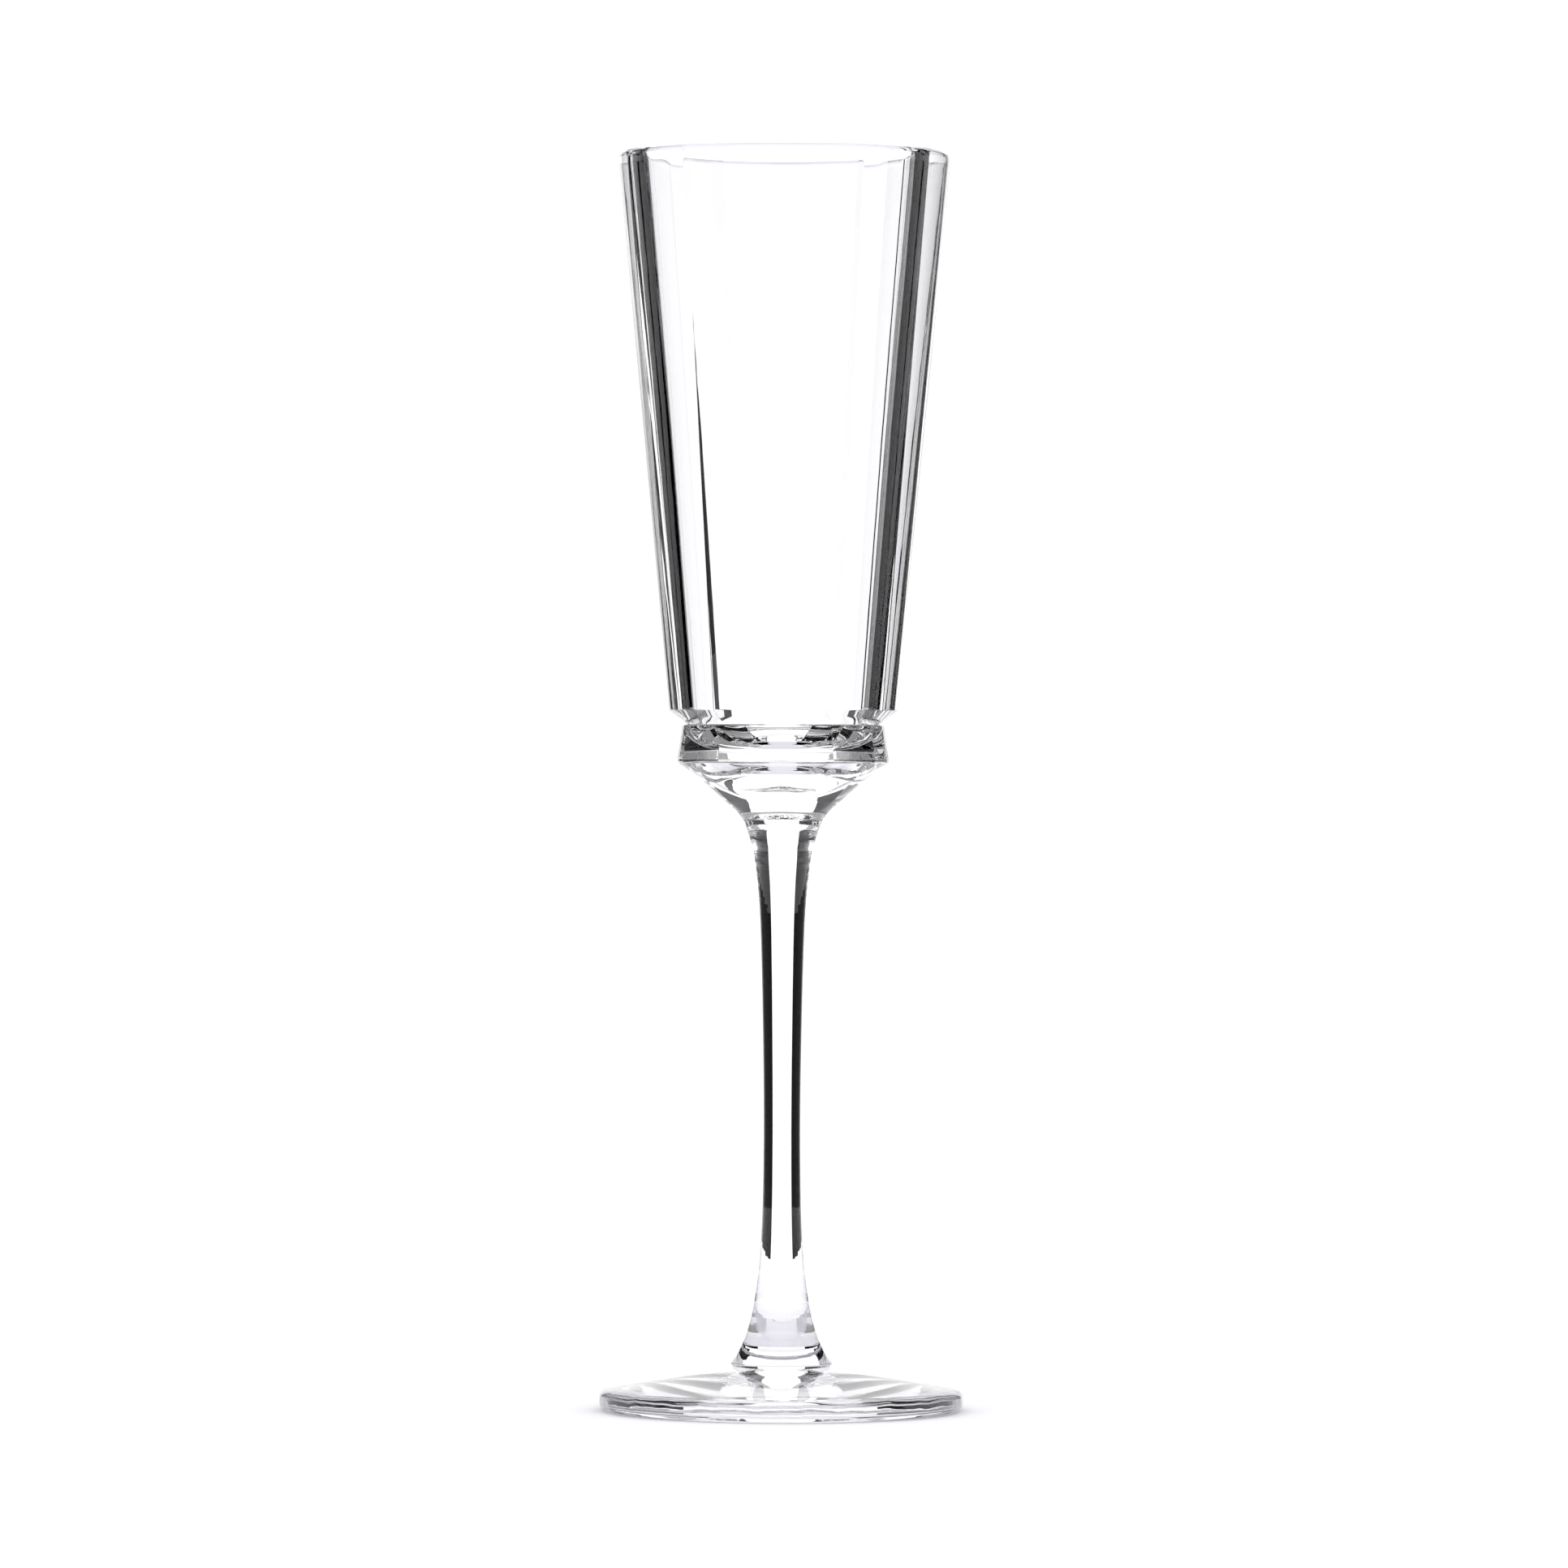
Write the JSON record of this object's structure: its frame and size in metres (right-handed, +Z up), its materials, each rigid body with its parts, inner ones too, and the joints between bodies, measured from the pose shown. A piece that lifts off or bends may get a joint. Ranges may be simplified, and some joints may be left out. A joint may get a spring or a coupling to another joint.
{
  "type": "champagne flute",
  "caption": "Clear stemmed flute with a tapered panelled bowl over a faceted ring, a slim waisted stem and a round foot.",
  "frame": {"origin": "centre of the circle that the foot stands on", "axes": "+Z up along the stem; the wide panels of the bowl face +X, -X, +Y and -Y"},
  "size_m": [0.0674, 0.0674, 0.2322],
  "materials": {
    "clear_glass": "colourless crystalline glass, fire-polished, with a faint cool cast where it is thick"
  },
  "bodies": {
    "root": {"bowl": "clear_glass", "stem": "clear_glass", "foot": "clear_glass"}
  },
  "joints": []
}
